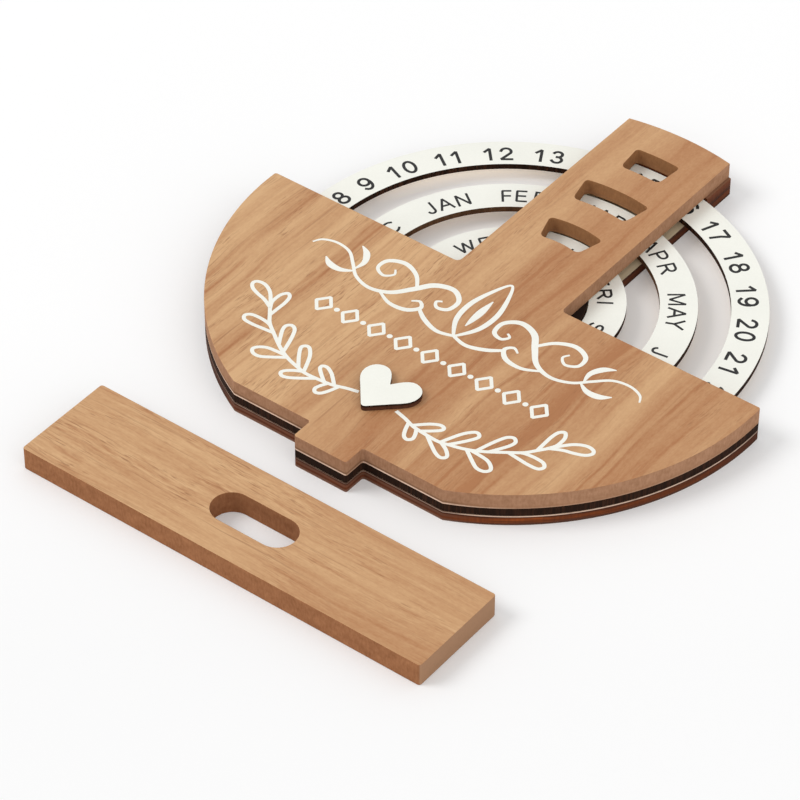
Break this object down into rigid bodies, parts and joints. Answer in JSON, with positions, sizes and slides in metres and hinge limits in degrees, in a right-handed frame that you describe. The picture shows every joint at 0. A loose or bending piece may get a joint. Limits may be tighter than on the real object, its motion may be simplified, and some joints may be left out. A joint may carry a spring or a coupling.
{
  "type": "perpetual desk calendar",
  "caption": "Wooden perpetual desk calendar: windowed T-shaped board over turning date, month and weekday rings, with a foot tab that plugs into a slotted stand base.",
  "frame": {"origin": "common centre of the three dial rings, on the rear face of the back panel", "axes": "+Z out of the calendar's face, +Y up the board along its stem, +X to the viewer's right; the board lies on its back at Z = 0 with the stand base lying in front of its foot"},
  "size_m": [0.2, 0.2577, 0.0152],
  "materials": {
    "veneer": "satin",
    "back_board": "matte",
    "spacer_board": "matte",
    "white_board": "satin",
    "stand_veneer": "satin"
  },
  "bodies": {
    "board": {"front_panel": "veneer", "back_panel": "back_board", "rim_spacer": "spacer_board", "outer_guide_spacer": "spacer_board", "inner_guide_spacer": "spacer_board", "hub_spacer": "spacer_board", "stem_end_spacer": "spacer_board", "heart": "white_board"},
    "date_dial": {"date_ring": "white_board"},
    "month_dial": {"month_ring": "white_board"},
    "weekday_dial": {"weekday_ring": "white_board"},
    "stand": {"stand_base": "stand_veneer"}
  },
  "joints": [
    {"name": "date_turn", "type": "hinge", "parent": "board", "child": "date_dial", "pos_m": [0, 0, 0.00525], "axis": [0, 0, 1], "continuous": true},
    {"name": "month_turn", "type": "hinge", "parent": "board", "child": "month_dial", "pos_m": [0, 0, 0.00525], "axis": [0, 0, 1], "continuous": true},
    {"name": "weekday_turn", "type": "hinge", "parent": "board", "child": "weekday_dial", "pos_m": [0, 0, 0.00525], "axis": [0, 0, 1], "continuous": true},
    {"name": "stand_lift", "type": "slide", "parent": "board", "child": "stand", "axis": [0, 0, 1], "range_m": [0, 0.06]}
  ]
}
